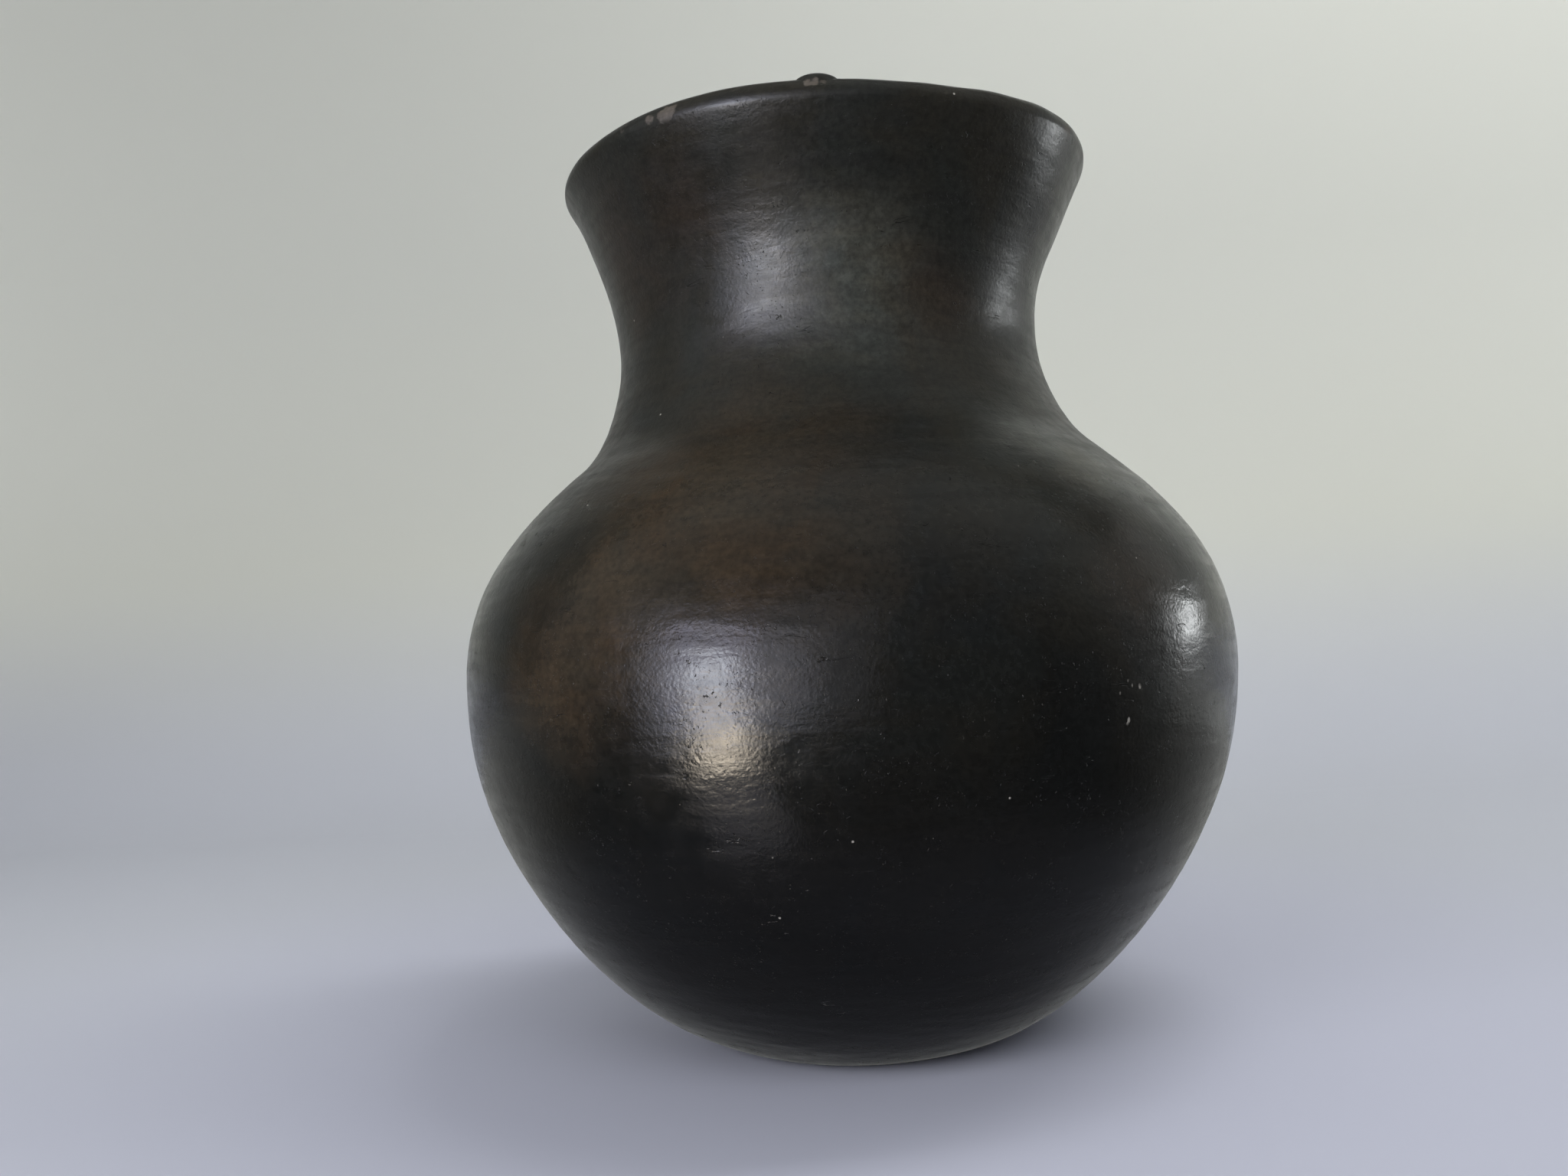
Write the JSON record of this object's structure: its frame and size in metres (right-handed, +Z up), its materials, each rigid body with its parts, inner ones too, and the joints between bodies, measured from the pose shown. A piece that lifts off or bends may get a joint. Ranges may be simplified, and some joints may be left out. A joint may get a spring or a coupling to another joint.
{
  "type": "clay pot",
  "caption": "Round-bodied black clay jar with a narrow neck, a flared mouth with a rounded lip and a small flat foot, raised from luted courses of clay.",
  "frame": {"origin": "centre of the flat foot, on the surface the pot stands on", "axes": "+Z up along the pot's axis; the lip nub is at the front, on -Y"},
  "size_m": [0.264, 0.264, 0.3026],
  "materials": {
    "burnished_clay": "stone-burnished black clay, satin sheen with brown clouding",
    "lip_clay": "burnished black clay worn brown along the lip",
    "foot_clay": "matt, rubbed black clay"
  },
  "bodies": {
    "root": {"base_disc": "foot_clay", "lower_bowl": "burnished_clay", "belly_coil_1": "burnished_clay", "belly_coil_2": "burnished_clay", "belly_coil_3": "burnished_clay", "belly_coil_4": "burnished_clay", "belly_coil_5": "burnished_clay", "shoulder_coil_1": "burnished_clay", "shoulder_coil_2": "burnished_clay", "neck_coil_1": "burnished_clay", "neck_coil_2": "burnished_clay", "mouth_coil": "burnished_clay", "lip_coil": "lip_clay", "lip_nub": "lip_clay"}
  },
  "joints": []
}
